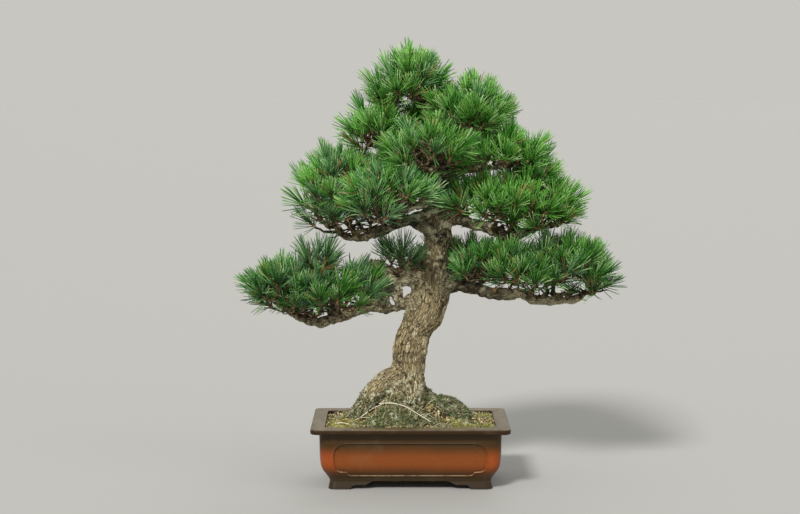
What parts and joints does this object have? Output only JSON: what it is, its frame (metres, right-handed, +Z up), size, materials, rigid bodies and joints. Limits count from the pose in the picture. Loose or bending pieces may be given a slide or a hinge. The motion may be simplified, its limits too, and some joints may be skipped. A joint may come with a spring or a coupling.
{
  "type": "potted pine bonsai",
  "caption": "Old pine bonsai with a leaning trunk and layered pads of paired needles, in a footed rectangular clay pot with moss on the soil.",
  "frame": {"origin": "middle of the whole tree and pot's bounding box, on the surface that the pot's feet stand on", "axes": "+Z up; the pot's long side runs along X and its front faces -Y"},
  "size_m": [0.5234, 0.3338, 0.599],
  "materials": {
    "clay": "unglazed smooth brown clay with a soft sheen, paler on the rim",
    "screen": "plain black",
    "soil": "grainy dark bonsai soil",
    "bark": "grey-tan flaky pine bark, darker on the branches",
    "moss": "low yellow-green and dark green moss",
    "needles": "glossy mid to dark green needles on brown twigs"
  },
  "bodies": {
    "root": {"pot": "clay", "drain_screen_left": "screen", "drain_screen_right": "screen", "soil": "soil", "trunk_roots_and_branches": "bark", "moss_mound_right": "moss", "moss_mound_front": "moss", "moss_corner_left": "moss", "moss_edge_right": "moss", "moss_back": "moss", "spray_low_left_1": "needles", "spray_low_left_2": "needles", "spray_low_left_3": "needles", "spray_low_left_4": "needles", "spray_low_right_1": "needles", "spray_low_right_2": "needles", "spray_low_right_3": "needles", "spray_low_right_4": "needles", "spray_low_right_5": "needles", "spray_mid_left_1": "needles", "spray_mid_left_2": "needles", "spray_mid_left_3": "needles", "spray_mid_right_1": "needles", "spray_mid_right_2": "needles", "spray_mid_right_3": "needles", "spray_mid_right_4": "needles", "spray_upper_left_1": "needles", "spray_upper_left_2": "needles", "spray_upper_right_1": "needles", "spray_upper_right_2": "needles", "spray_upper_right_3": "needles", "spray_shoulder_1": "needles", "spray_shoulder_2": "needles", "spray_apex_1": "needles", "spray_apex_2": "needles", "spray_apex_3": "needles", "spray_front_mid_1": "needles", "spray_front_mid_2": "needles", "spray_front_upper_1": "needles", "spray_front_upper_2": "needles", "spray_back_low_1": "needles", "spray_back_low_2": "needles", "spray_back_low_3": "needles", "spray_back_mid_1": "needles", "spray_back_mid_2": "needles", "spray_back_upper_1": "needles", "spray_back_upper_2": "needles", "spray_low_left_high_1": "needles", "spray_crotch_1": "needles"}
  },
  "joints": []
}
